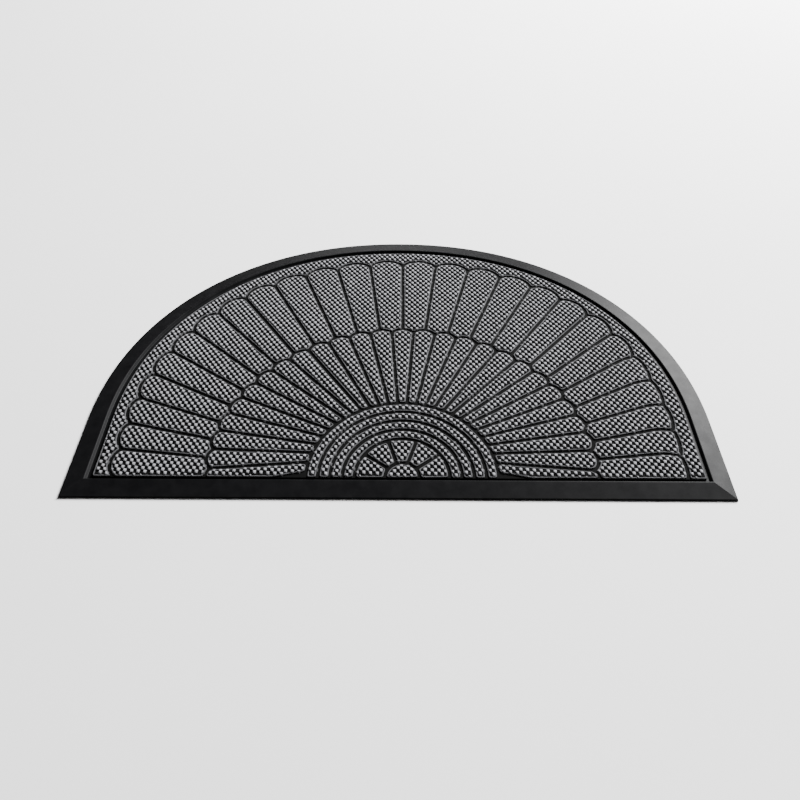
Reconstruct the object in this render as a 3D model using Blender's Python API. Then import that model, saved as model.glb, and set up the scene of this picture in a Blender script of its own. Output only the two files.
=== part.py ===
"""Half-round doormat: a moulded rubber tray with a bevelled border holds a carpet face.

The carpet face carries a raised fan: a half flower, four rings, two tiers of petals and a plain band.
Metres, +Z up, straight front edge along X, origin under the middle of the bounding box.
"""

import math

import bmesh
import bpy
from mathutils import Matrix

# Overall size of the mat
WIDTH = 0.600
DEPTH = 0.390
HALF = WIDTH / 2
FRONT = -DEPTH / 2

# Outline: straight front and sides, then a slightly squared arc
SIDE_LENGTH = 0.093
ARC_BASE = FRONT + SIDE_LENGTH
ARC_RISE = DEPTH - SIDE_LENGTH
ARC_POWER = 2.087
ARC_STEPS = 88

# Rubber tray, heights above the floor and distances inwards from the outline
EDGE_HEIGHT = 0.0020
LIP_HEIGHT = 0.0048
TRAY_FLOOR = 0.0024
EDGE_DRAFT = 0.0004
LIP_START = 0.0174
LIP_WIDTH = 0.0010
WALL_RUN = 0.0020

# Carpet face
CARPET_INSET = 0.0245
CARPET_SHIFT = (0.0010, -0.0015)
CARPET_FRONT = FRONT + 0.0209
FIT_GAP = 0.0003
CARPET_BOTTOM = TRAY_FLOOR + FIT_GAP
GROOVE_FLOOR = 0.0048
CARPET_TOP = 0.0070
LEDGE = 0.0004
GROOVE = 0.0040
HALF_GROOVE = GROOVE / 2
EDGE_ROUNDING = 0.0006
ROOT_DEPTH = 0.0009

# Fan layout: rings and outer rays share one centre, the inner rays have their own
FAN_X = 0.0035
FAN_Y = FRONT + 0.0212
INNER_FAN_Y = FRONT + 0.0454

# Rings and half flower, as sizes across the mat; they are a little longer than wide
RING_OUTER = 0.0869
RING_PITCH = 0.0110
RING_COUNT = 4
RING_STRETCH = 1.06
RING_STEPS = 32
FRONT_OVERRUN = 0.1
HUB_RADIUS = 0.0155
HUB_STEPS = 14
FLOWER_PITCH = math.radians(36.0)
FLOWER_REACH = 2

# Inner petals, one of them on the centre line
INNER_PITCH = math.radians(7.6)
INNER_REACH = 13
INNER_NOTCH = 0.1735
INNER_BULGE = 0.0060
INNER_STEPS = 8
ROOT_STEPS = 80
ROOT_TURN = math.radians(20.0)

# Outer petals, a groove on the centre line; radii are shares of the way to the outline
OUTER_SIDE_COUNT = 13
OUTER_PITCH = math.radians(90.0) / OUTER_SIDE_COUNT
OUTER_NOTCH = 0.862
OUTER_BULGE = 0.025
OUTER_STEPS = 8

# Petal ends are blunter than a round arc
END_POWER = 0.7

# The ends of the right-hand outer petals are swept towards the front, drawn in and flattened
SWEEP_FROM = math.radians(40.0)
SWEEP_FULL = math.radians(68.0)
SWEEP_START = 0.785
SWEEP_SIDEWAYS = 0.0051
SWEEP_INWARDS = 0.0040
SWEEP_FLATTENING = 0.6
SWEEP_STEP = 0.004

RUBBER_COLOUR = (0.0105, 0.0105, 0.0108, 1.0)
CARPET_COLOUR = (0.130, 0.130, 0.132, 1.0)


def clear_scene():
    """Remove everything the start file holds."""
    for item in list(bpy.data.objects):
        bpy.data.objects.remove(item, do_unlink=True)


def arc_point(turn, inset):
    """Point of the outline's arc at a turn from the right side, moved inwards along its normal."""
    across = math.copysign(abs(math.cos(turn)) ** (2 / ARC_POWER), math.cos(turn))
    along = abs(math.sin(turn)) ** (2 / ARC_POWER)
    slope_x = math.copysign(abs(across) ** (ARC_POWER - 1), across) / HALF
    slope_y = along ** (ARC_POWER - 1) / ARC_RISE
    length = math.hypot(slope_x, slope_y)
    x = HALF * across - inset * slope_x / length
    y = ARC_BASE + ARC_RISE * along - inset * slope_y / length
    return (x, y)


def mat_outline(inset, shift=(0.0, 0.0)):
    """Half-round outline moved inwards, anticlockwise from the front right corner."""
    points = [(HALF - inset, FRONT + inset)]
    points += [arc_point(math.pi * step / ARC_STEPS, inset) for step in range(ARC_STEPS + 1)]
    points.append((inset - HALF, FRONT + inset))
    return [(x + shift[0], y + shift[1]) for x, y in points]


def reach(angle):
    """Distance from the fan centre to the outline; the angle runs clockwise from straight back."""
    low = 0.0
    high = WIDTH
    for _ in range(40):
        middle = (low + high) / 2
        x = abs(middle * math.sin(angle))
        y = FAN_Y + middle * math.cos(angle)
        rise = max(0.0, y - ARC_BASE) / ARC_RISE
        if (x / HALF) ** ARC_POWER + rise ** ARC_POWER < 1.0:
            low = middle
        else:
            high = middle
    return low


def polar(centre_y, angle, radius, stretch=1.0):
    """Point at a clockwise angle from straight back, seen from a centre on the fan's axis."""
    return (FAN_X + radius * math.sin(angle), centre_y + stretch * radius * math.cos(angle))


def moved_sideways(points, distance):
    """Open line moved along its normals, to the left of its direction."""
    result = []
    for index, (x, y) in enumerate(points):
        before = points[max(index - 1, 0)]
        after = points[min(index + 1, len(points) - 1)]
        step_x = after[0] - before[0]
        step_y = after[1] - before[1]
        length = math.hypot(step_x, step_y)
        result.append((x - distance * step_y / length, y + distance * step_x / length))
    return result


def trimmed(points, depth_of):
    """Part of an open line where depth_of is positive, with its ends on the limit."""
    result = []
    for index, point in enumerate(points):
        depth = depth_of(point)
        if index:
            last = points[index - 1]
            last_depth = depth_of(last)
            if (depth > 0) != (last_depth > 0):
                share = last_depth / (last_depth - depth)
                result.append((last[0] + share * (point[0] - last[0]), last[1] + share * (point[1] - last[1])))
        if depth > 0:
            result.append(point)
    return result


def right_of_ray(centre_y, angle, gap, stretch=1.0):
    """Depth function: how far a point lies clockwise of a ray, less a gap."""
    direction_x = math.sin(angle)
    direction_y = stretch * math.cos(angle)
    length = math.hypot(direction_x, direction_y)

    def depth_of(point):
        across = (point[0] - FAN_X) * direction_y - (point[1] - centre_y) * direction_x
        return across / length - gap

    return depth_of


def left_of_ray(centre_y, angle, gap, stretch=1.0):
    """Depth function: how far a point lies anticlockwise of a ray, less a gap."""
    mirrored = right_of_ray(centre_y, angle, 0.0, stretch)
    return lambda point: -mirrored(point) - gap


def between_rays(points, centre_y, first, second, gap, stretch=1.0):
    """Part of an open line between two rays, a gap away from each."""
    kept = trimmed(points, right_of_ray(centre_y, first, gap, stretch))
    return trimmed(kept, left_of_ray(centre_y, second, gap, stretch))


def carpet_outline(ledge):
    """Carpet's outline moved inwards by a ledge; its front edge lies closer to the lip than the rest."""
    points = mat_outline(CARPET_INSET + ledge, CARPET_SHIFT)
    front = CARPET_FRONT + ledge
    return [(points[0][0], front)] + points[1:-1] + [(points[-1][0], front)]


def front_limit():
    """Line along the front edge of the carpet that the raised shapes stop at."""
    return CARPET_FRONT + LEDGE


def cut_at_front(outline):
    """Closed outline without its part in front of the carpet."""
    return trimmed(outline + outline[:1], lambda point: point[1] - front_limit())


def bulge(share):
    """Height of a petal's end across its width, share -1 to 1."""
    return max(0.0, 1.0 - share * share) ** END_POWER


def eased(share):
    """Share from 0 to 1 with a soft start and a soft end."""
    share = min(1.0, max(0.0, share))
    return share * share * (3.0 - 2.0 * share)


def side_sweep(angle):
    """Share of the full sweep at a clockwise angle."""
    return eased((angle - SWEEP_FROM) / (SWEEP_FULL - SWEEP_FROM))


def sweep_share(point):
    """Share of the full sweep at a point of the outer tier; it grows towards the notches."""
    angle = math.atan2(point[0] - FAN_X, point[1] - FAN_Y)
    radius = math.hypot(point[0] - FAN_X, point[1] - FAN_Y)
    nearness = (radius / reach(angle) - SWEEP_START) / (OUTER_NOTCH - SWEEP_START)
    return side_sweep(angle) * min(1.0, max(0.0, nearness)) ** 2


def swept_point(point):
    """Point of the outer tier after the sweep."""
    share = sweep_share(point)
    angle = math.atan2(point[0] - FAN_X, point[1] - FAN_Y)
    radius = math.hypot(point[0] - FAN_X, point[1] - FAN_Y)
    return polar(FAN_Y, angle + share * SWEEP_SIDEWAYS / radius, radius - share * SWEEP_INWARDS)


def swept(points):
    """Line of the outer tier after the sweep, with more points where its long sides are bent."""
    result = []
    for index, point in enumerate(points):
        if index:
            last = points[index - 1]
            pieces = math.ceil(math.dist(last, point) / SWEEP_STEP)
            for piece in range(1, pieces):
                share = piece / pieces
                between = (last[0] + share * (point[0] - last[0]), last[1] + share * (point[1] - last[1]))
                if sweep_share(between) > 0:
                    result.append(swept_point(between))
        result.append(swept_point(point))
    return result


def outer_end(number):
    """Middle line of the groove around the end of an outer petal, clockwise."""
    points = []
    for step in range(OUTER_STEPS + 1):
        share = 2 * step / OUTER_STEPS - 1
        angle = OUTER_PITCH * (number + 0.5 + share / 2)
        height = OUTER_BULGE * (1 - SWEEP_FLATTENING * side_sweep(angle)) * bulge(share)
        points.append(polar(FAN_Y, angle, reach(angle) * (OUTER_NOTCH + height)))
    return points


def inner_end(number):
    """Middle line of the groove around the end of an inner petal, clockwise."""
    points = []
    for step in range(INNER_STEPS + 1):
        share = 2 * step / INNER_STEPS - 1
        angle = INNER_PITCH * (number + share / 2)
        points.append(polar(INNER_FAN_Y, angle, INNER_NOTCH + INNER_BULGE * bulge(share)))
    return points


def ring_line(radius, steps, middle=0.0, half_turn=math.pi / 2 + FRONT_OVERRUN):
    """Part of a ring about the fan centre, clockwise, as far as a half turn each way from its middle."""
    angles = [middle + half_turn * (2 * step / steps - 1) for step in range(steps + 1)]
    return [polar(FAN_Y, angle, radius, RING_STRETCH) for angle in angles]


def inner_tier_line():
    """Outer bank of the grooves around all inner petals, as one line, clockwise."""
    points = []
    for number in range(-INNER_REACH, INNER_REACH + 1):
        bank = moved_sideways(inner_end(number), HALF_GROOVE)
        first = INNER_PITCH * (number - 0.5)
        second = INNER_PITCH * (number + 0.5)
        points += between_rays(bank, INNER_FAN_Y, first, second, 0.0)
    return points


def overrun(number, first_number, last_number):
    """Angles a shape is widened by at its two sides, so that the first and last one reach the front."""
    return (-FRONT_OVERRUN * (number == first_number), FRONT_OVERRUN * (number == last_number))


def outer_petals():
    """Closed outlines of the outer petals."""
    shapes = []
    tier = inner_tier_line()
    for number in range(-OUTER_SIDE_COUNT, OUTER_SIDE_COUNT):
        more = overrun(number, -OUTER_SIDE_COUNT, OUTER_SIDE_COUNT - 1)
        first = OUTER_PITCH * number + more[0]
        second = OUTER_PITCH * (number + 1) + more[1]
        end = moved_sideways(outer_end(number), -HALF_GROOVE)
        top = between_rays(end, FAN_Y, first, second, HALF_GROOVE)
        if more[0]:
            top.insert(0, (top[0][0], FRONT))
        if more[1]:
            top.append((top[-1][0], FRONT))
        root = between_rays(tier, FAN_Y, first, second, HALF_GROOVE)
        shapes.append(cut_at_front(swept(top + root[::-1] + top[:1])[:-1]))
    return shapes


def inner_petals():
    """Closed outlines of the inner petals."""
    shapes = []
    for number in range(-INNER_REACH, INNER_REACH + 1):
        first = INNER_PITCH * (number - 0.5)
        second = INNER_PITCH * (number + 0.5)
        end = moved_sideways(inner_end(number), -HALF_GROOVE)
        top = between_rays(end, INNER_FAN_Y, first, second, HALF_GROOVE)
        tip = end[len(end) // 2]
        towards = math.atan2(tip[0] - FAN_X, tip[1] - FAN_Y)
        ring = ring_line(RING_OUTER + HALF_GROOVE, ROOT_STEPS, towards, ROOT_TURN)
        root = between_rays(ring, INNER_FAN_Y, first, second, HALF_GROOVE)
        shapes.append(cut_at_front(top + [root[-1], root[len(root) // 2], root[0]]))
    return shapes


def rings():
    """Closed outlines of the raised half rings."""
    shapes = []
    for number in range(RING_COUNT):
        outside = ring_line(RING_OUTER - RING_PITCH * number - HALF_GROOVE, RING_STEPS)
        inside = ring_line(RING_OUTER - RING_PITCH * (number + 1) + HALF_GROOVE, RING_STEPS)
        limit = front_limit()
        above = [trimmed(line, lambda point: point[1] - limit) for line in (outside, inside)]
        shapes.append(above[0] + above[1][::-1])
    return shapes


def half_flower():
    """Closed outlines of the petals and the hub inside the rings."""
    rim = ring_line(RING_OUTER - RING_PITCH * RING_COUNT - HALF_GROOVE, RING_STEPS)
    root = ring_line(HUB_RADIUS + HALF_GROOVE, HUB_STEPS)
    shapes = [cut_at_front(ring_line(HUB_RADIUS - HALF_GROOVE, HUB_STEPS))]
    for number in range(-FLOWER_REACH, FLOWER_REACH + 1):
        more = overrun(number, -FLOWER_REACH, FLOWER_REACH)
        first = FLOWER_PITCH * (number - 0.5) + more[0]
        second = FLOWER_PITCH * (number + 0.5) + more[1]
        top = between_rays(rim, FAN_Y, first, second, HALF_GROOVE, RING_STRETCH)
        bottom = between_rays(root, FAN_Y, first, second, HALF_GROOVE, RING_STRETCH)
        shapes.append(cut_at_front(top + bottom[::-1]))
    return shapes


def plain_band():
    """Closed outline of the flat band between the outer petals and the carpet's edge."""
    inside = []
    for number in range(-OUTER_SIDE_COUNT, OUTER_SIDE_COUNT):
        bank = moved_sideways(outer_end(number), HALF_GROOVE)
        first = OUTER_PITCH * number
        second = OUTER_PITCH * (number + 1)
        inside += between_rays(bank, FAN_Y, first, second, 0.0)
    limit = front_limit()
    inside = trimmed(swept(inside), lambda point: point[1] - limit)
    return carpet_outline(LEDGE) + inside


def without_doubles(outline, least=0.0005):
    """Closed outline without points that lie closer together than the least distance."""
    kept = []
    for point in outline:
        if not kept or math.dist(point, kept[-1]) > least:
            kept.append(point)
    while math.dist(kept[0], kept[-1]) <= least:
        kept.pop()
    return kept


def flat_mesh(outline, bottom, top, rounding=0.0):
    """Closed prism mesh over a flat outline, with its upper and lower edges cut back by the rounding."""
    curve = bpy.data.curves.new("outline", "CURVE")
    curve.dimensions = "2D"
    curve.fill_mode = "BOTH"
    curve.extrude = (top - bottom) / 2 - rounding
    curve.bevel_depth = rounding
    curve.bevel_resolution = 0
    curve.offset = -rounding
    points = without_doubles(outline)
    spline = curve.splines.new("POLY")
    spline.points.add(len(points) - 1)
    for target, (x, y) in zip(spline.points, points):
        target.co = (x, y, 0.0, 1.0)
    spline.use_cyclic_u = True
    holder = bpy.data.objects.new("outline", curve)
    bpy.context.scene.collection.objects.link(holder)
    bpy.context.view_layer.update()
    graph = bpy.context.evaluated_depsgraph_get()
    mesh = bpy.data.meshes.new_from_object(holder.evaluated_get(graph))
    mesh.transform(Matrix.Translation((0.0, 0.0, (top + bottom) / 2)))
    bpy.data.objects.remove(holder, do_unlink=True)
    return mesh


def joined_mesh(name, outlines, bottom, top, rounding=0.0):
    """One mesh of closed prisms, one over each outline."""
    shape = bmesh.new()
    for outline in outlines:
        shape.from_mesh(flat_mesh(outline, bottom, top, rounding))
    bmesh.ops.remove_doubles(shape, verts=shape.verts, dist=0.00001)
    bmesh.ops.recalc_face_normals(shape, faces=shape.faces)
    mesh = bpy.data.meshes.new(name)
    shape.to_mesh(mesh)
    shape.free()
    return mesh


def add_object(name, mesh, collection):
    """Object for a mesh in a collection."""
    item = bpy.data.objects.new(name, mesh)
    collection.objects.link(item)
    return item


def plain_material(name, colour, roughness):
    """Principled material with one colour."""
    material = bpy.data.materials.new(name)
    material.use_nodes = True
    shader = material.node_tree.nodes["Principled BSDF"]
    shader.inputs["Base Color"].default_value = colour
    shader.inputs["Roughness"].default_value = roughness
    shader.inputs["Metallic"].default_value = 0.0
    return material


def build_tray(collection):
    """Rubber tray: flat sheet with a thin outer edge, a bevel up to the lip and a sunk floor."""
    mesh = joined_mesh("rubber_base", [mat_outline(0.0)], 0.0, EDGE_HEIGHT)
    shape = bmesh.new()
    shape.from_mesh(mesh)
    for face_set in ([face for face in shape.faces if face.normal.z > 0.5],
                     [face for face in shape.faces if face.normal.z < -0.5]):
        bmesh.ops.dissolve_faces(shape, faces=face_set)
    steps = (
        (LIP_START, LIP_HEIGHT - EDGE_HEIGHT),
        (LIP_WIDTH, 0.0),
        (WALL_RUN, TRAY_FLOOR - LIP_HEIGHT),
    )
    for inwards, upwards in steps:
        shape.faces.ensure_lookup_table()
        top = [max(shape.faces, key=lambda face: face.calc_area() * (face.normal.z > 0.5))]
        bmesh.ops.inset_region(shape, faces=top, thickness=inwards, depth=upwards, use_even_offset=True)
    for vert in shape.verts:
        if abs(vert.co.z - EDGE_HEIGHT) < 0.00001:
            vert.co.x *= 1.0 - EDGE_DRAFT / HALF
            vert.co.y *= 1.0 - EDGE_DRAFT / (DEPTH / 2)
    bmesh.ops.recalc_face_normals(shape, faces=shape.faces)
    shape.to_mesh(mesh)
    shape.free()
    tray = add_object("rubber_base", mesh, collection)
    mesh.materials.append(plain_material("moulded_rubber", RUBBER_COLOUR, 0.62))
    return tray


def build_carpet(collection, cutters):
    """Carpet face: a thin sheet with the fan standing on it, all one solid."""
    outline = carpet_outline(0.0)
    sheet = joined_mesh("carpet_face", [outline], CARPET_BOTTOM, GROOVE_FLOOR)
    carpet = add_object("carpet_face", sheet, collection)
    sheet.materials.append(plain_material("ribbed_carpet", CARPET_COLOUR, 0.95))
    low = GROOVE_FLOOR - ROOT_DEPTH
    raised_outlines = outer_petals() + inner_petals() + rings() + half_flower() + [plain_band()]
    raised_mesh = joined_mesh("raised_fan", raised_outlines, low, CARPET_TOP, EDGE_ROUNDING)
    raised = add_object("raised_fan", raised_mesh, cutters)
    raised.hide_render = True
    raised.display_type = "WIRE"
    join = carpet.modifiers.new("raised_fan", "BOOLEAN")
    join.operation = "UNION"
    join.solver = "EXACT"
    join.object = raised
    return carpet


def main():
    clear_scene()
    parts = bpy.data.collections.new("doormat")
    helpers = bpy.data.collections.new("helpers")
    bpy.context.scene.collection.children.link(parts)
    bpy.context.scene.collection.children.link(helpers)
    build_tray(parts)
    build_carpet(parts, helpers)


main()
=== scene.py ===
"""Half-round doormat on a pale studio floor.

A rubber tray with a bevelled border holds a hobnail carpet with a raised fan. Metres, +Z up, straight
front edge along X, origin under the middle of the mat.
"""

import math
import random

import bmesh
import bpy
import numpy
from mathutils import Matrix, Vector


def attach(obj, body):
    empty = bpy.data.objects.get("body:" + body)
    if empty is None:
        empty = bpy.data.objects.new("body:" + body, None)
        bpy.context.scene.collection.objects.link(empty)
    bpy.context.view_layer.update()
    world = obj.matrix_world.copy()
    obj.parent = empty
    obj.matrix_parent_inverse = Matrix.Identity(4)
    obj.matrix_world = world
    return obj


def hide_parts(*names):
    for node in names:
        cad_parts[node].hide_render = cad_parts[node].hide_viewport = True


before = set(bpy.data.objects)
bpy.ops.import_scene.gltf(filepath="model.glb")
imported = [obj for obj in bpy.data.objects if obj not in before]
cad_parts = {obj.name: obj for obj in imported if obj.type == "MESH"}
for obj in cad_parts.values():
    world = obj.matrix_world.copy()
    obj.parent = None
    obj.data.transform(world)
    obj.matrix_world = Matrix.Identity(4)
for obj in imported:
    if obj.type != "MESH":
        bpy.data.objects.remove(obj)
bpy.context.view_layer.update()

# Overall size of the mat
WIDTH = 0.600
DEPTH = 0.390
HALF = WIDTH / 2
FRONT = -DEPTH / 2

# Outline: straight front and sides, then a slightly squared arc
SIDE_LENGTH = 0.093
ARC_BASE = FRONT + SIDE_LENGTH
ARC_RISE = DEPTH - SIDE_LENGTH
ARC_POWER = 2.087
ARC_STEPS = 180

# Rubber tray, heights above the floor and distances inwards from the outline
EDGE_HEIGHT = 0.0020
LIP_HEIGHT = 0.0048
TRAY_FLOOR = 0.0024
EDGE_DRAFT = 0.0004
LIP_START = 0.0174
LIP_WIDTH = 0.0010
WALL_RUN = 0.0020
MOULD_ROUNDING = 0.00045

# Carpet
CARPET_INSET = 0.0245
CARPET_SHIFT = (0.0010, -0.0015)
CARPET_FRONT = FRONT + 0.0209
CARPET_BOTTOM = 0.0026
GROOVE_FLOOR = 0.0046
CARPET_TOP = 0.0070
LEDGE = 0.0004
GROOVE = 0.0040
HALF_GROOVE = GROOVE / 2
EDGE_ROUNDING = 0.0003
ROOT_DEPTH = 0.0009
PIT_FLOOR = 0.0054

# Fan layout: rings and outer rays share one centre, the inner rays have their own
FAN_X = 0.0035
FAN_Y = FRONT + 0.0212
INNER_FAN_Y = FRONT + 0.0454

# Rings and half flower, as sizes across the mat; they are a little longer than wide
RING_OUTER = 0.0869
RING_PITCH = 0.0110
RING_COUNT = 4
RING_STRETCH = 1.06
RING_STEPS = 60
FRONT_OVERRUN = 0.1
HUB_RADIUS = 0.0155
HUB_STEPS = 24
FLOWER_PITCH = math.radians(36.0)
FLOWER_REACH = 2

# Inner petals, one of them on the centre line
INNER_PITCH = math.radians(7.6)
INNER_REACH = 13
INNER_NOTCH = 0.1735
INNER_BULGE = 0.0060
INNER_STEPS = 12
ROOT_STEPS = 80
ROOT_TURN = math.radians(20.0)

# Outer petals, a groove on the centre line; radii are shares of the way to the outline
OUTER_SIDE_COUNT = 13
OUTER_PITCH = math.radians(90.0) / OUTER_SIDE_COUNT
OUTER_NOTCH = 0.862
OUTER_BULGE = 0.025
OUTER_STEPS = 12

# Petal ends are blunter than a round arc
END_POWER = 0.7

# The ends of the right-hand outer petals are swept towards the front, drawn in and flattened
SWEEP_FROM = math.radians(40.0)
SWEEP_FULL = math.radians(68.0)
SWEEP_START = 0.785
SWEEP_SIDEWAYS = 0.0051
SWEEP_INWARDS = 0.0040
SWEEP_FLATTENING = 0.6
SWEEP_STEP = 0.004

# Hobnail weave: the two steps from a knob to its neighbours, seen from above
STEP_RIGHT_BACK = (0.003152, 0.003740)
STEP_RIGHT_FRONT = (0.002992, -0.004231)
WEAVE_REACH = 90
ARM_SIDES = 3
ARM_LENGTH = 0.52
WAIST_ALONG = 0.00230
WAIST_ACROSS = 0.00172
KNOB_HEIGHT = 0.0017

# Unevenness of the knobs: turn, size, place, and how far one is pressed down
KNOB_TURN = 0.10
KNOB_SIZES = (0.94, 1.05)
KNOB_SHIFT = 0.00015
KNOB_SINKING = 0.00018

# Knobs shrink towards the carpet's cut edge
SHRINK_MARGIN = 0.0003
SHRINK_RUN = 0.0026
SMALLEST_KNOB = 0.5

# Share of the length and height of the knob's three rings of corners, from the foot up
KNOB_ARM_ROWS = ((1.0, 0.0), (0.97, 0.50), (0.56, 0.88))
KNOB_WAIST_ROWS = ((1.0, 0.0), (0.90, 0.50), (0.66, 0.88))

# Pillowed relief: knob tops are low along the grooves and full height inside the petals
GROOVE_TOP = 0.0048
PILLOW_RUN = 0.0058
SLOPE_LEVEL = 2.2
GRID_STEP = 0.001
GRID_MARGIN = 0.004
GROOVE_CLEARANCE = -0.0004
# Painted shade: knob colour darkens towards the grooves over this span of depths, down to the darkest share below
GROOVE_SHADE = (-0.0012, 0.0010)
GROOVE_DARKEST_PAINTED_SHADE = 0.25
EDGE_CLEARANCE = 0.0009

# Strand low on the slope of each raised shape, where the knobs are pressed together
RIM_STEP = 0.0012
RIM_INSET = 0.0004
RIM_RADIUS = 0.00085
RIM_SINK = 0.0005
RIM_SMOOTHING = 2
# Rims' fixed place on the pile's painted shade ramp, darker than the knob tops
RIM_PAINTED_SHADE_HEIGHT = 0.45
RIM_THINNEST = 0.86
RIM_LUMP = 0.30
RIM_LUMP_REACH = 0.0019
RIM_UNEVENNESS = 0.05

# Camera that took the photo
CAMERA_PLACE = (0.0024, -0.6176, 0.5562)
CAMERA_PITCH = 0.7947
CAMERA_ROLL = 0.0033
CAMERA_YAW = -0.0022
CAMERA_LENS = 35.36
CAMERA_SENSOR = 36.0

# Lights: name, azimuth from the right towards the back, elevation, distance, size, watts
LIGHTS = (
    ("key_softbox", 50.0, 32.0, 3.6, 1.5, 800.0),
    ("back_softbox", 92.0, 16.0, 3.2, 1.0, 20.0),
    ("fill_softbox", -135.0, 50.0, 3.0, 1.5, 8.0),
)
ROOM_STRENGTH = 0.05

# Colours of the carpet from the depth of a pit to the top of a knob; the darkening down into the pits is painted
# shade, and the ground's near-black is partly its dark backing and partly painted shade
GROUND_BACKING_AND_SHADE_STOPS = ((0.0, "060606"), (0.5, "0b0b0b"), (1.0, "121213"))
PILE_COLOUR_AND_SHADE_STOPS = ((0.0, "0c0c0d"), (0.45, "3c3c3e"), (1.0, "96969a"))

RANDOM_SEED = 7


def arc_point(turn, inset):
    """Point of the outline's arc at a turn from the right side, moved inwards along its normal."""
    across = math.copysign(abs(math.cos(turn)) ** (2 / ARC_POWER), math.cos(turn))
    along = abs(math.sin(turn)) ** (2 / ARC_POWER)
    slope_x = math.copysign(abs(across) ** (ARC_POWER - 1), across) / HALF
    slope_y = along ** (ARC_POWER - 1) / ARC_RISE
    length = math.hypot(slope_x, slope_y)
    x = HALF * across - inset * slope_x / length
    y = ARC_BASE + ARC_RISE * along - inset * slope_y / length
    return (x, y)


def mat_outline(inset, shift=(0.0, 0.0)):
    """Half-round outline moved inwards, anticlockwise from the front right corner."""
    points = [(HALF - inset, FRONT + inset)]
    points += [arc_point(math.pi * step / ARC_STEPS, inset) for step in range(ARC_STEPS + 1)]
    points.append((inset - HALF, FRONT + inset))
    return [(x + shift[0], y + shift[1]) for x, y in points]


def reach(angle):
    """Distance from the fan centre to the outline; the angle runs clockwise from straight back."""
    low = 0.0
    high = WIDTH
    for _ in range(40):
        middle = (low + high) / 2
        x = abs(middle * math.sin(angle))
        y = FAN_Y + middle * math.cos(angle)
        rise = max(0.0, y - ARC_BASE) / ARC_RISE
        if (x / HALF) ** ARC_POWER + rise ** ARC_POWER < 1.0:
            low = middle
        else:
            high = middle
    return low


def polar(centre_y, angle, radius, stretch=1.0):
    """Point at a clockwise angle from straight back, seen from a centre on the fan's axis."""
    return (FAN_X + radius * math.sin(angle), centre_y + stretch * radius * math.cos(angle))


def moved_sideways(points, distance):
    """Open line moved along its normals, to the left of its direction."""
    result = []
    for index, (x, y) in enumerate(points):
        before = points[max(index - 1, 0)]
        after = points[min(index + 1, len(points) - 1)]
        step_x = after[0] - before[0]
        step_y = after[1] - before[1]
        length = math.hypot(step_x, step_y)
        result.append((x - distance * step_y / length, y + distance * step_x / length))
    return result


def trimmed(points, depth_of):
    """Part of an open line where depth_of is positive, with its ends on the limit."""
    result = []
    for index, point in enumerate(points):
        depth = depth_of(point)
        if index:
            last = points[index - 1]
            last_depth = depth_of(last)
            if (depth > 0) != (last_depth > 0):
                share = last_depth / (last_depth - depth)
                step = (point[0] - last[0], point[1] - last[1])
                result.append((last[0] + share * step[0], last[1] + share * step[1]))
        if depth > 0:
            result.append(point)
    return result


def right_of_ray(centre_y, angle, gap, stretch=1.0):
    """Depth function: how far a point lies clockwise of a ray, less a gap."""
    direction_x = math.sin(angle)
    direction_y = stretch * math.cos(angle)
    length = math.hypot(direction_x, direction_y)

    def depth_of(point):
        across = (point[0] - FAN_X) * direction_y - (point[1] - centre_y) * direction_x
        return across / length - gap

    return depth_of


def left_of_ray(centre_y, angle, gap, stretch=1.0):
    """Depth function: how far a point lies anticlockwise of a ray, less a gap."""
    mirrored = right_of_ray(centre_y, angle, 0.0, stretch)
    return lambda point: -mirrored(point) - gap


def between_rays(points, centre_y, first, second, gap, stretch=1.0):
    """Part of an open line between two rays, a gap away from each."""
    kept = trimmed(points, right_of_ray(centre_y, first, gap, stretch))
    return trimmed(kept, left_of_ray(centre_y, second, gap, stretch))


def carpet_outline(ledge):
    """Carpet's outline moved inwards by a ledge; its front edge lies closer to the lip than the rest."""
    points = mat_outline(CARPET_INSET + ledge, CARPET_SHIFT)
    front = CARPET_FRONT + ledge
    return [(points[0][0], front)] + points[1:-1] + [(points[-1][0], front)]


def front_limit():
    """Line along the front edge of the carpet that the raised shapes stop at."""
    return CARPET_FRONT + LEDGE


def cut_at_front(outline):
    """Closed outline without its part in front of the carpet."""
    return trimmed(outline + outline[:1], lambda point: point[1] - front_limit())


def bulge(share):
    """Height of a petal's end across its width, share -1 to 1."""
    return max(0.0, 1.0 - share * share) ** END_POWER


def eased(share):
    """Share from 0 to 1 with a soft start and a soft end."""
    share = min(1.0, max(0.0, share))
    return share * share * (3.0 - 2.0 * share)


def side_sweep(angle):
    """Share of the full sweep at a clockwise angle."""
    return eased((angle - SWEEP_FROM) / (SWEEP_FULL - SWEEP_FROM))


def sweep_share(point):
    """Share of the full sweep at a point of the outer tier; it grows towards the notches."""
    angle = math.atan2(point[0] - FAN_X, point[1] - FAN_Y)
    radius = math.hypot(point[0] - FAN_X, point[1] - FAN_Y)
    nearness = (radius / reach(angle) - SWEEP_START) / (OUTER_NOTCH - SWEEP_START)
    return side_sweep(angle) * min(1.0, max(0.0, nearness)) ** 2


def swept_point(point):
    """Point of the outer tier after the sweep."""
    share = sweep_share(point)
    angle = math.atan2(point[0] - FAN_X, point[1] - FAN_Y)
    radius = math.hypot(point[0] - FAN_X, point[1] - FAN_Y)
    return polar(FAN_Y, angle + share * SWEEP_SIDEWAYS / radius, radius - share * SWEEP_INWARDS)


def swept(points):
    """Line of the outer tier after the sweep, with more points where its long sides are bent."""
    result = []
    for index, point in enumerate(points):
        if index:
            last = points[index - 1]
            pieces = math.ceil(math.dist(last, point) / SWEEP_STEP)
            for piece in range(1, pieces):
                share = piece / pieces
                between = (last[0] + share * (point[0] - last[0]), last[1] + share * (point[1] - last[1]))
                if sweep_share(between) > 0:
                    result.append(swept_point(between))
        result.append(swept_point(point))
    return result


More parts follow.
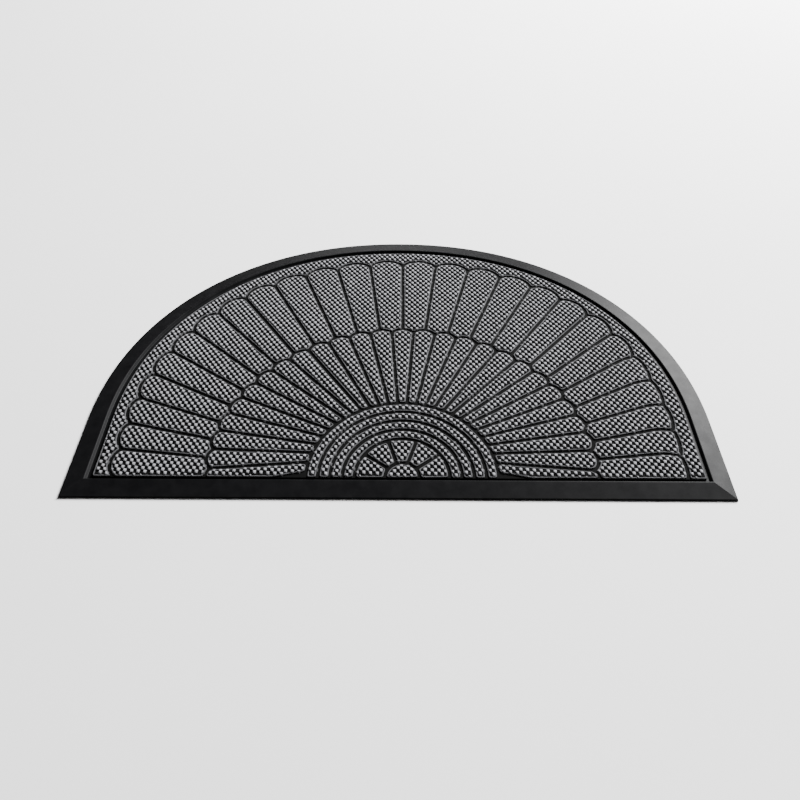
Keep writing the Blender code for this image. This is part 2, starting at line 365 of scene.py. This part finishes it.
def outer_end(number):
    """Middle line of the groove around the end of an outer petal, clockwise."""
    points = []
    for step in range(OUTER_STEPS + 1):
        share = 2 * step / OUTER_STEPS - 1
        angle = OUTER_PITCH * (number + 0.5 + share / 2)
        height = OUTER_BULGE * (1 - SWEEP_FLATTENING * side_sweep(angle)) * bulge(share)
        points.append(polar(FAN_Y, angle, reach(angle) * (OUTER_NOTCH + height)))
    return points


def inner_end(number):
    """Middle line of the groove around the end of an inner petal, clockwise."""
    points = []
    for step in range(INNER_STEPS + 1):
        share = 2 * step / INNER_STEPS - 1
        angle = INNER_PITCH * (number + share / 2)
        points.append(polar(INNER_FAN_Y, angle, INNER_NOTCH + INNER_BULGE * bulge(share)))
    return points


def ring_line(radius, steps, middle=0.0, half_turn=math.pi / 2 + FRONT_OVERRUN):
    """Part of a ring about the fan centre, clockwise, as far as a half turn each way from its middle."""
    angles = [middle + half_turn * (2 * step / steps - 1) for step in range(steps + 1)]
    return [polar(FAN_Y, angle, radius, RING_STRETCH) for angle in angles]


def inner_tier_line():
    """Outer bank of the grooves around all inner petals, as one line, clockwise."""
    points = []
    for number in range(-INNER_REACH, INNER_REACH + 1):
        bank = moved_sideways(inner_end(number), HALF_GROOVE)
        first = INNER_PITCH * (number - 0.5)
        second = INNER_PITCH * (number + 0.5)
        points += between_rays(bank, INNER_FAN_Y, first, second, 0.0)
    return points


def overrun(number, first_number, last_number):
    """Angles a shape is widened by at its two sides, so that the first and last one reach the front."""
    return (-FRONT_OVERRUN * (number == first_number), FRONT_OVERRUN * (number == last_number))


def outer_petals():
    """Closed outlines of the outer petals."""
    shapes = []
    tier = inner_tier_line()
    for number in range(-OUTER_SIDE_COUNT, OUTER_SIDE_COUNT):
        more = overrun(number, -OUTER_SIDE_COUNT, OUTER_SIDE_COUNT - 1)
        first = OUTER_PITCH * number + more[0]
        second = OUTER_PITCH * (number + 1) + more[1]
        end = moved_sideways(outer_end(number), -HALF_GROOVE)
        top = between_rays(end, FAN_Y, first, second, HALF_GROOVE)
        if more[0]:
            top.insert(0, (top[0][0], FRONT))
        if more[1]:
            top.append((top[-1][0], FRONT))
        root = between_rays(tier, FAN_Y, first, second, HALF_GROOVE)
        shapes.append(cut_at_front(swept(top + root[::-1] + top[:1])[:-1]))
    return shapes


def inner_petals():
    """Closed outlines of the inner petals."""
    shapes = []
    for number in range(-INNER_REACH, INNER_REACH + 1):
        first = INNER_PITCH * (number - 0.5)
        second = INNER_PITCH * (number + 0.5)
        end = moved_sideways(inner_end(number), -HALF_GROOVE)
        top = between_rays(end, INNER_FAN_Y, first, second, HALF_GROOVE)
        tip = end[len(end) // 2]
        towards = math.atan2(tip[0] - FAN_X, tip[1] - FAN_Y)
        ring = ring_line(RING_OUTER + HALF_GROOVE, ROOT_STEPS, towards, ROOT_TURN)
        root = between_rays(ring, INNER_FAN_Y, first, second, HALF_GROOVE)
        shapes.append(cut_at_front(top + [root[-1], root[len(root) // 2], root[0]]))
    return shapes


def rings():
    """Closed outlines of the raised half rings."""
    shapes = []
    for number in range(RING_COUNT):
        outside = ring_line(RING_OUTER - RING_PITCH * number - HALF_GROOVE, RING_STEPS)
        inside = ring_line(RING_OUTER - RING_PITCH * (number + 1) + HALF_GROOVE, RING_STEPS)
        limit = front_limit()
        above = [trimmed(line, lambda point: point[1] - limit) for line in (outside, inside)]
        shapes.append(above[0] + above[1][::-1])
    return shapes


def half_flower():
    """Closed outlines of the petals and the hub inside the rings."""
    rim = ring_line(RING_OUTER - RING_PITCH * RING_COUNT - HALF_GROOVE, RING_STEPS)
    root = ring_line(HUB_RADIUS + HALF_GROOVE, HUB_STEPS)
    shapes = [cut_at_front(ring_line(HUB_RADIUS - HALF_GROOVE, HUB_STEPS))]
    for number in range(-FLOWER_REACH, FLOWER_REACH + 1):
        more = overrun(number, -FLOWER_REACH, FLOWER_REACH)
        first = FLOWER_PITCH * (number - 0.5) + more[0]
        second = FLOWER_PITCH * (number + 0.5) + more[1]
        top = between_rays(rim, FAN_Y, first, second, HALF_GROOVE, RING_STRETCH)
        bottom = between_rays(root, FAN_Y, first, second, HALF_GROOVE, RING_STRETCH)
        shapes.append(cut_at_front(top + bottom[::-1]))
    return shapes


def plain_band():
    """Closed outline of the flat band between the outer petals and the carpet's edge."""
    inside = []
    for number in range(-OUTER_SIDE_COUNT, OUTER_SIDE_COUNT):
        bank = moved_sideways(outer_end(number), HALF_GROOVE)
        first = OUTER_PITCH * number
        second = OUTER_PITCH * (number + 1)
        inside += between_rays(bank, FAN_Y, first, second, 0.0)
    limit = front_limit()
    inside = trimmed(swept(inside), lambda point: point[1] - limit)
    return carpet_outline(LEDGE) + inside


def without_doubles(outline, least=0.0005):
    """Closed outline without points that lie closer together than the least distance."""
    kept = []
    for point in outline:
        if not kept or math.dist(point, kept[-1]) > least:
            kept.append(point)
    while math.dist(kept[0], kept[-1]) <= least:
        kept.pop()
    return kept


def add_object(name, mesh):
    """Object for a mesh in the scene's collection."""
    item = bpy.data.objects.new(name, mesh)
    bpy.context.scene.collection.objects.link(item)
    return item


def solid_of(item):
    """Mesh of an object with its modifiers and curve shape worked out; the object is removed."""
    bpy.context.view_layer.update()
    graph = bpy.context.evaluated_depsgraph_get()
    mesh = bpy.data.meshes.new_from_object(item.evaluated_get(graph))
    bpy.data.objects.remove(item, do_unlink=True)
    return mesh


def closed_spline(curve, points):
    """Closed polygon in a curve."""
    spline = curve.splines.new("POLY")
    spline.points.add(len(points) - 1)
    for target, (x, y, z) in zip(spline.points, points):
        target.co = (x, y, z, 1.0)
    spline.use_cyclic_u = True
    return spline


def flat_mesh(outline, bottom, top, rounding=0.0):
    """Closed prism mesh over a flat outline, with its upper and lower edges cut back by the rounding."""
    curve = bpy.data.curves.new("outline", "CURVE")
    curve.dimensions = "2D"
    curve.fill_mode = "BOTH"
    curve.extrude = (top - bottom) / 2 - rounding
    curve.bevel_depth = rounding
    curve.bevel_resolution = 1 if rounding else 0
    curve.offset = -rounding
    closed_spline(curve, [(x, y, 0.0) for x, y in without_doubles(outline)])
    mesh = solid_of(add_object("outline", curve))
    mesh.transform(Matrix.Translation((0.0, 0.0, (top + bottom) / 2)))
    return mesh


def joined_mesh(name, outlines, bottom, top, rounding=0.0):
    """One mesh of closed prisms, one over each outline."""
    shape = bmesh.new()
    for outline in outlines:
        shape.from_mesh(flat_mesh(outline, bottom, top, rounding))
    bmesh.ops.remove_doubles(shape, verts=shape.verts, dist=0.00001)
    bmesh.ops.recalc_face_normals(shape, faces=shape.faces)
    mesh = bpy.data.meshes.new(name)
    shape.to_mesh(mesh)
    shape.free()
    return mesh


def build_tray():
    """Rubber tray: thin outer edge, bevelled border up to the lip, sunk floor, all edges softened."""
    mesh = joined_mesh("rubber_tray", [mat_outline(0.0)], 0.0, EDGE_HEIGHT)
    shape = bmesh.new()
    shape.from_mesh(mesh)
    for face_set in ([face for face in shape.faces if face.normal.z > 0.5],
                     [face for face in shape.faces if face.normal.z < -0.5]):
        bmesh.ops.dissolve_faces(shape, faces=face_set)
    steps = (
        (LIP_START, LIP_HEIGHT - EDGE_HEIGHT),
        (LIP_WIDTH, 0.0),
        (WALL_RUN, TRAY_FLOOR - LIP_HEIGHT),
    )
    for inwards, upwards in steps:
        shape.faces.ensure_lookup_table()
        top = [max(shape.faces, key=lambda face: face.calc_area() * (face.normal.z > 0.5))]
        bmesh.ops.inset_region(shape, faces=top, thickness=inwards, depth=upwards, use_even_offset=True)
    for vert in shape.verts:
        if abs(vert.co.z - EDGE_HEIGHT) < 0.00001:
            vert.co.x *= 1.0 - EDGE_DRAFT / HALF
            vert.co.y *= 1.0 - EDGE_DRAFT / (DEPTH / 2)
    loops = []
    for edge in shape.edges:
        heights = [vert.co.z for vert in edge.verts]
        if abs(heights[0] - heights[1]) < 0.00001 and heights[0] > 0.00001:
            loops.append(edge)
    bmesh.ops.bevel(shape, geom=loops, offset=MOULD_ROUNDING, segments=3, profile=0.5,
                    affect="EDGES", clamp_overlap=True, material=-1)
    bmesh.ops.recalc_face_normals(shape, faces=shape.faces)
    shape.to_mesh(mesh)
    shape.free()
    return add_object("rubber_tray", mesh)


def build_field(raised_outlines):
    """Carpet sheet with the raised shapes as low plateaus, which the knobs stand on."""
    sheet = joined_mesh("carpet_field", [carpet_outline(0.0)], CARPET_BOTTOM, GROOVE_FLOOR)
    holder = add_object("holder", sheet)
    low = GROOVE_FLOOR - ROOT_DEPTH
    raised = add_object("raised", joined_mesh("raised", raised_outlines, low, PIT_FLOOR, EDGE_ROUNDING))
    join = holder.modifiers.new("raised", "BOOLEAN")
    join.operation = "UNION"
    join.solver = "EXACT"
    join.object = raised
    mesh = solid_of(holder)
    mesh.name = "carpet_field"
    bpy.data.objects.remove(raised, do_unlink=True)
    return add_object("carpet_field", mesh)


def knob_shape():
    """Corner points and faces of one knob: a low dome with four arms that meet the neighbours' arms."""
    arms = []
    for step in (STEP_RIGHT_BACK, STEP_RIGHT_FRONT):
        for side in (1, -1):
            angle = math.atan2(side * step[1], side * step[0]) % math.tau
            arms.append((angle, ARM_LENGTH * math.hypot(*step)))
    arms.sort()
    corners = []
    for index, (angle, length) in enumerate(arms):
        turn = (arms[(index + 1) % len(arms)][0] - angle) % math.tau
        corners.append((angle, length, KNOB_ARM_ROWS))
        waist = WAIST_ACROSS if index % 2 else WAIST_ALONG
        for side in range(1, ARM_SIDES):
            corners.append((angle + turn * side / ARM_SIDES, waist, KNOB_WAIST_ROWS))
    shape = bmesh.new()
    bmesh.ops.create_uvsphere(shape, u_segments=len(corners), v_segments=6, radius=1.0)
    halves = bmesh.ops.bisect_plane(shape, geom=shape.verts[:] + shape.edges[:] + shape.faces[:], dist=0.001,
                                    plane_co=(0.0, 0.0, 0.0), plane_no=(0.0, 0.0, -1.0), clear_outer=True)
    rim = [item for item in halves["geom_cut"] if isinstance(item, bmesh.types.BMEdge)]
    bmesh.ops.holes_fill(shape, edges=rim, sides=len(corners))
    for vert in shape.verts:
        row = min(round(vert.co.z * 2), 2)
        if vert.co.z > 0.99:
            vert.co = (0.0, 0.0, 1.0)
            continue
        turned = vert.co.to_2d().angle_signed(Vector((1.0, 0.0))) / math.tau * len(corners)
        angle, length, rows = corners[round(turned) % len(corners)]
        share, height = rows[row]
        vert.co = (share * length * math.cos(angle), share * length * math.sin(angle), height)
    bmesh.ops.recalc_face_normals(shape, faces=shape.faces)
    shape.verts.ensure_lookup_table()
    points = numpy.array([vert.co[:] for vert in shape.verts])
    faces = [[vert.index for vert in face.verts] for face in shape.faces]
    shape.free()
    return points, faces


def depth_inside(outline, places):
    """How far each place lies inside a closed outline; negative outside it."""
    starts = numpy.array(outline)
    runs = numpy.roll(starts, -1, axis=0) - starts
    nearest = numpy.full(len(places), numpy.inf)
    inside = numpy.zeros(len(places), dtype=bool)
    for start, run in zip(starts, runs):
        offsets = places - start
        share = numpy.clip(offsets @ run / (run @ run), 0.0, 1.0)
        nearest = numpy.minimum(nearest, numpy.hypot(*(offsets - share[:, None] * run).T))
        crosses = (offsets[:, 1] >= 0) != (offsets[:, 1] >= run[1])
        if run[1]:
            inside ^= crosses & (offsets[:, 1] / run[1] * run[0] > offsets[:, 0])
    return numpy.where(inside, nearest, -nearest)


def relief_grid(outlines):
    """Depth inside the raised shapes on an even grid over the mat; negative in the grooves."""
    across = numpy.arange(-HALF, HALF + GRID_STEP, GRID_STEP)
    along = numpy.arange(FRONT, -FRONT + GRID_STEP, GRID_STEP)
    depths = numpy.full((len(across), len(along)), -GRID_MARGIN)
    for outline in outlines:
        points = numpy.array(without_doubles(outline))
        low = points.min(axis=0) - GRID_MARGIN
        high = points.max(axis=0) + GRID_MARGIN
        columns = numpy.flatnonzero((across > low[0]) & (across < high[0]))
        rows = numpy.flatnonzero((along > low[1]) & (along < high[1]))
        x, y = numpy.meshgrid(across[columns], along[rows], indexing="ij")
        depth = depth_inside(points, numpy.stack([x.ravel(), y.ravel()], axis=-1)).reshape(x.shape)
        part = numpy.ix_(columns, rows)
        depths[part] = numpy.maximum(depths[part], depth)
    return depths


def depth_at(grid, x, y):
    """Depth inside the raised shapes at places, read between the points of the grid."""
    column = numpy.clip((x + HALF) / GRID_STEP, 0, grid.shape[0] - 1.001)
    row = numpy.clip((y - FRONT) / GRID_STEP, 0, grid.shape[1] - 1.001)
    i = column.astype(int)
    j = row.astype(int)
    u = column - i
    v = row - j
    low = grid[i, j] * (1 - u) + grid[i + 1, j] * u
    high = grid[i, j + 1] * (1 - u) + grid[i + 1, j + 1] * u
    return low * (1 - v) + high * v


def top_height(depth):
    """Height of the knob tops at a depth inside the raised shapes."""
    share = numpy.clip((depth + HALF_GROOVE) / PILLOW_RUN, 0.0, 1.0)
    return GROOVE_TOP + (CARPET_TOP - GROOVE_TOP) * (1.0 - (1.0 - share) ** SLOPE_LEVEL)


def weave_places():
    """Knob places of the whole weave, inside the carpet's bounding box."""
    count = numpy.arange(-WEAVE_REACH, WEAVE_REACH + 1)
    right, left = numpy.meshgrid(count, count)
    steps = numpy.stack([right.ravel(), left.ravel()], axis=-1)
    places = steps @ numpy.array([STEP_RIGHT_BACK, STEP_RIGHT_FRONT])
    return places[(abs(places[:, 0]) < HALF) & (abs(places[:, 1]) < DEPTH / 2)]


def store_painted_shade(mesh, heights):
    """Keep each point's place on the pile's painted shade ramp, 0 deep in a pit and 1 on a knob's top, for the
    pile's material, which paints the lower points darker as shade.
    """
    layer = mesh.attributes.new("painted_shade_height", "FLOAT", "POINT")
    layer.data.foreach_set("value", heights)


def build_knobs(name, rows, grid, chance):
    """Knobs joined in one mesh that follows the pillowed relief; each row is a place and a size."""
    places = rows[:, :2]
    points, faces = knob_shape()
    count = len(places)
    turn = numpy.array([[chance.uniform(-KNOB_TURN, KNOB_TURN)] for _ in range(count)])
    size = rows[:, 2:] * numpy.array([[chance.uniform(*KNOB_SIZES)] for _ in range(count)])
    shift = numpy.array([[chance.uniform(-KNOB_SHIFT, KNOB_SHIFT) for _ in range(2)] for _ in range(count)])
    level = numpy.array([[chance.uniform(0.0, KNOB_SINKING)] for _ in range(count)])
    x = size * (numpy.cos(turn) * points[:, 0] - numpy.sin(turn) * points[:, 1]) + (places + shift)[:, :1]
    y = size * (numpy.sin(turn) * points[:, 0] + numpy.cos(turn) * points[:, 1]) + (places + shift)[:, 1:]
    depth = depth_at(grid, x, y)
    z = top_height(depth) - level - KNOB_HEIGHT * (1.0 - points[:, 2])
    # Knobs near and in the grooves are painted darker as shade
    painted_groove_shade = numpy.clip((depth - GROOVE_SHADE[0]) / (GROOVE_SHADE[1] - GROOVE_SHADE[0]), GROOVE_DARKEST_PAINTED_SHADE, 1.0)
    corners = numpy.stack([x, y, z], axis=-1).reshape(-1, 3)
    copies = [[len(points) * copy + corner for corner in face] for copy in range(count) for face in faces]
    mesh = bpy.data.meshes.new(name)
    mesh.from_pydata(corners.tolist(), [], copies)
    mesh.polygons.foreach_set("use_smooth", [True] * len(mesh.polygons))
    store_painted_shade(mesh, (painted_groove_shade * points[:, 2]).ravel())
    return add_object(name, mesh)


def even_steps(outline, step):
    """Closed outline cut into even steps, with its corners softened."""
    loop = without_doubles(outline)
    points = numpy.array(loop + loop[:1])
    lengths = numpy.concatenate([[0.0], numpy.cumsum(numpy.hypot(*numpy.diff(points, axis=0).T))])
    count = max(12, round(lengths[-1] / step))
    at = numpy.arange(count) * lengths[-1] / count
    even = numpy.stack([numpy.interp(at, lengths, points[:, axis]) for axis in (0, 1)], axis=-1)
    for _ in range(RIM_SMOOTHING):
        even = (numpy.roll(even, 1, axis=0) + 2 * even + numpy.roll(even, -1, axis=0)) / 4
    return even


def signed_area(points):
    """Area of a closed outline, positive when it runs anticlockwise."""
    after = numpy.roll(points, -1, axis=0)
    return float((points[:, 0] * after[:, 1] - after[:, 0] * points[:, 1]).sum() / 2)


def build_rims(name, outlines, places, chance):
    """Strand low on the slope of every raised outline, thick where it passes a knob of the weave."""
    curve = bpy.data.curves.new(name, "CURVE")
    curve.dimensions = "3D"
    curve.bevel_depth = RIM_RADIUS
    curve.bevel_resolution = 1
    height = float(top_height(numpy.float64(RIM_INSET))) - RIM_RADIUS - RIM_SINK
    for outline in outlines:
        even = even_steps(outline, RIM_STEP)
        along = numpy.roll(even, -1, axis=0) - numpy.roll(even, 1, axis=0)
        along /= numpy.hypot(*along.T)[:, None]
        side = math.copysign(1.0, signed_area(even))
        line = even + side * RIM_INSET * numpy.stack([-along[:, 1], along[:, 0]], axis=-1)
        nearest = numpy.sqrt(((line[:, None, :] - places[None]) ** 2).sum(-1).min(axis=1))
        lumps = numpy.exp(-(nearest / RIM_LUMP_REACH) ** 2)
        spline = closed_spline(curve, [(x, y, height) for x, y in line])
        for point, lump in zip(spline.points, lumps):
            uneven = chance.uniform(-RIM_UNEVENNESS, RIM_UNEVENNESS)
            point.radius = RIM_THINNEST + RIM_LUMP * lump + uneven
    mesh = solid_of(add_object(name, curve))
    mesh.name = name
    mesh.polygons.foreach_set("use_smooth", [True] * len(mesh.polygons))
    # Rims sit low on the slope, so they are painted darker as shade
    store_painted_shade(mesh, [RIM_PAINTED_SHADE_HEIGHT] * len(mesh.vertices))
    return add_object(name, mesh)


def linear(code):
    """Scene colour of an sRGB hex code."""
    channels = []
    for start in (0, 2, 4):
        value = int(code[start:start + 2], 16) / 255
        channels.append(value / 12.92 if value <= 0.04045 else ((value + 0.055) / 1.055) ** 2.4)
    return tuple(channels) + (1.0,)


def set_inputs(material, node, links):
    """Input values and links of a node; a link is given as (node, output name)."""
    for name, value in links.items():
        if isinstance(value, tuple) and isinstance(value[0], bpy.types.Node):
            material.node_tree.links.new(value[0].outputs[value[1]], node.inputs[name])
        else:
            node.inputs[name].default_value = value


def add_node(material, kind, settings, links):
    """Node with its settings, input values and links."""
    node = material.node_tree.nodes.new(kind)
    for name, value in settings.items():
        setattr(node, name, value)
    set_inputs(material, node, links)
    return node


def new_material(name):
    """Empty node material with its shader and output."""
    material = bpy.data.materials.new(name)
    material.use_nodes = True
    material.node_tree.nodes.clear()
    shader = add_node(material, "ShaderNodeBsdfPrincipled", {}, {})
    add_node(material, "ShaderNodeOutputMaterial", {}, {"Surface": (shader, "BSDF")})
    return material, shader


def ramp(material, factor, stops):
    """Colour ramp over a factor, with (position, hex code) stops."""
    node = add_node(material, "ShaderNodeValToRGB", {}, {"Fac": factor})
    elements = node.color_ramp.elements
    while len(elements) < len(stops):
        elements.new(0.5)
    for element, (position, code) in zip(elements, stops):
        element.position = position
        element.color = linear(code)
    return node


def noise(material, place, size, detail, roughness):
    """Cloudy pattern of a real size on Object coordinates."""
    return add_node(material, "ShaderNodeTexNoise", {}, {"Vector": (place, "Object"), "Scale": 1 / size,
                                                         "Detail": detail, "Roughness": roughness})


def bump(material, pattern, strength, distance):
    """Fine relief of a surface from a pattern."""
    return add_node(material, "ShaderNodeBump", {}, {"Height": (pattern, "Fac"), "Strength": strength,
                                                     "Distance": distance})


def pile_material(name, stops, sheen, shine):
    """Needle-punched grey pile: painted shade makes it darker down in the pits and lighter on the tops, with fine
    loose fibres.
    """
    material, shader = new_material(name)
    place = add_node(material, "ShaderNodeTexCoord", {}, {})
    height = add_node(material, "ShaderNodeAttribute", {"attribute_name": "painted_shade_height"}, {})
    fibres = noise(material, place, 0.0007, 3.0, 0.65)
    tufts = noise(material, place, 0.006, 2.0, 0.5)
    wear = noise(material, place, 0.09, 3.0, 0.5)
    # Painted shade: lower points of the pile get darker colour; without the attribute, as on the ground, this share
    # is 0
    depth = add_node(material, "ShaderNodeMapRange", {}, {"Value": (height, "Fac"), "To Min": 0.0, "To Max": 0.80})
    shares = []
    for cloud, gain, offset in ((fibres, 0.50, -0.25), (tufts, 0.30, -0.15), (wear, 0.20, -0.05)):
        shares.append(add_node(material, "ShaderNodeMath", {"operation": "MULTIPLY_ADD"},
                               {0: (cloud, "Fac"), 1: gain, 2: offset}))
    total = (depth, "Result")
    for part in shares:
        sum_node = add_node(material, "ShaderNodeMath", {"operation": "ADD"},
                            {0: total, 1: (part, "Value")})
        total = (sum_node, "Value")
    colour = ramp(material, total, stops)
    relief = bump(material, fibres, 0.6, 0.0002)
    set_inputs(material, shader, {"Base Color": (colour, "Color"), "Roughness": 0.92, "Sheen Weight": sheen,
                                  "Sheen Roughness": 0.6, "Specular IOR Level": shine, "Normal": (relief, "Normal")})
    return material


def rubber_material():
    """Compression-moulded black rubber: satin skin with faint cloudy bloom and a fine pebbled grain."""
    material, shader = new_material("moulded_black_rubber")
    place = add_node(material, "ShaderNodeTexCoord", {}, {})
    grain = noise(material, place, 0.0006, 2.0, 0.6)
    bloom = noise(material, place, 0.012, 4.0, 0.6)
    colour = ramp(material, (bloom, "Fac"), ((0.3, "0b0b0c"), (0.7, "111112")))
    skin = add_node(material, "ShaderNodeMapRange", {},
                    {"Value": (bloom, "Fac"), "From Min": 0.3, "From Max": 0.7, "To Min": 0.40, "To Max": 0.46})
    relief = bump(material, grain, 0.35, 0.00012)
    set_inputs(material, shader, {"Base Color": (colour, "Color"), "Roughness": (skin, "Result"),
                                  "Specular IOR Level": 0.03, "Normal": (relief, "Normal")})
    return material


def floor_material():
    """Matt white studio paper with hardly visible clouds in it."""
    material, shader = new_material("matt_white_paper")
    place = add_node(material, "ShaderNodeTexCoord", {}, {})
    clouds = add_node(material, "ShaderNodeTexNoise", {}, {"Vector": (place, "Object"), "Scale": 2.0, "Detail": 2.0})
    colour = ramp(material, (clouds, "Fac"), ((0.2, "f2f2f2"), (0.8, "f6f6f6")))
    set_inputs(material, shader, {"Base Color": (colour, "Color"), "Roughness": 0.9})
    return material


def build_studio():
    """Floor, key light behind on the right, weak fill in front on the left, and the dark room."""
    shape = bmesh.new()
    bmesh.ops.create_grid(shape, x_segments=1, y_segments=1, size=4.0)
    mesh = bpy.data.meshes.new("studio_floor")
    shape.to_mesh(mesh)
    shape.free()
    mesh.materials.append(floor_material())
    add_object("studio_floor", mesh)
    for name, azimuth, elevation, distance, size, power in LIGHTS:
        data = bpy.data.lights.new(name, "AREA")
        data.shape = "SQUARE"
        data.size = size
        data.energy = power
        lamp = bpy.data.objects.new(name, data)
        bpy.context.scene.collection.objects.link(lamp)
        level = math.cos(math.radians(elevation))
        away = Vector((level * math.cos(math.radians(azimuth)), level * math.sin(math.radians(azimuth)),
                       math.sin(math.radians(elevation))))
        lamp.location = away * distance
        lamp.rotation_euler = away.to_track_quat("Z", "Y").to_euler()
    world = bpy.data.worlds.new("dark_room")
    world.use_nodes = True
    world.node_tree.nodes["Background"].inputs["Color"].default_value = linear("ffffff")
    world.node_tree.nodes["Background"].inputs["Strength"].default_value = ROOM_STRENGTH
    bpy.context.scene.world = world


def build_camera():
    """Camera at the place and angle the photo was taken from."""
    ahead = Vector((math.sin(CAMERA_YAW) * math.cos(CAMERA_PITCH),
                    math.cos(CAMERA_YAW) * math.cos(CAMERA_PITCH), -math.sin(CAMERA_PITCH)))
    level = Vector((math.cos(CAMERA_YAW), -math.sin(CAMERA_YAW), 0.0))
    upright = level.cross(ahead)
    right = math.cos(CAMERA_ROLL) * level + math.sin(CAMERA_ROLL) * upright
    top = math.cos(CAMERA_ROLL) * upright - math.sin(CAMERA_ROLL) * level
    data = bpy.data.cameras.new("camera")
    data.lens = CAMERA_LENS
    data.sensor_width = CAMERA_SENSOR
    data.clip_start = 0.01
    camera = bpy.data.objects.new("camera", data)
    bpy.context.scene.collection.objects.link(camera)
    camera.matrix_world = Matrix.Translation(CAMERA_PLACE) @ Matrix((right, top, -ahead)).transposed().to_4x4()
    bpy.context.scene.camera = camera


def main():
    chance = random.Random(RANDOM_SEED)
    outer = outer_petals()
    inner = inner_petals()
    centre = rings() + half_flower()
    band = [plain_band()]
    grid = relief_grid(outer + inner + centre + band)
    places = weave_places()
    edge = depth_inside(carpet_outline(0.0), places)
    kept = (edge > EDGE_CLEARANCE) & (depth_at(grid, places[:, 0], places[:, 1]) > GROOVE_CLEARANCE)
    size = numpy.clip((edge + SHRINK_MARGIN) / SHRINK_RUN, SMALLEST_KNOB, 1.0)
    rows = numpy.column_stack([places, size])[kept]
    thirds = numpy.array_split(rows[numpy.argsort(rows[:, 0], kind="stable")], 3)
    tray = build_tray()
    tray.data.materials.append(rubber_material())
    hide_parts("rubber_base")
    field = build_field(outer + inner + centre + band)
    field.data.materials.clear()
    # The ground's near-black is partly the carpet's dark backing and partly painted shade for the pits and grooves
    field.data.materials.append(pile_material("pressed_carpet_ground", GROUND_BACKING_AND_SHADE_STOPS, 0.0, 0.05))
    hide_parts("carpet_face")
    pile = pile_material("needle_punched_knobs", PILE_COLOUR_AND_SHADE_STOPS, 0.06, 0.15)
    cloth = [
        build_knobs("left_knobs", thirds[0], grid, chance),
        build_knobs("middle_knobs", thirds[1], grid, chance),
        build_knobs("right_knobs", thirds[2], grid, chance),
        build_rims("petal_rims", outer + inner, places, chance),
        build_rims("ring_and_band_rims", centre + band, places, chance),
    ]
    for item in cloth:
        item.data.materials.append(pile)
    for item in [tray, field] + cloth:
        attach(item, "root")
    build_studio()
    build_camera()


main()
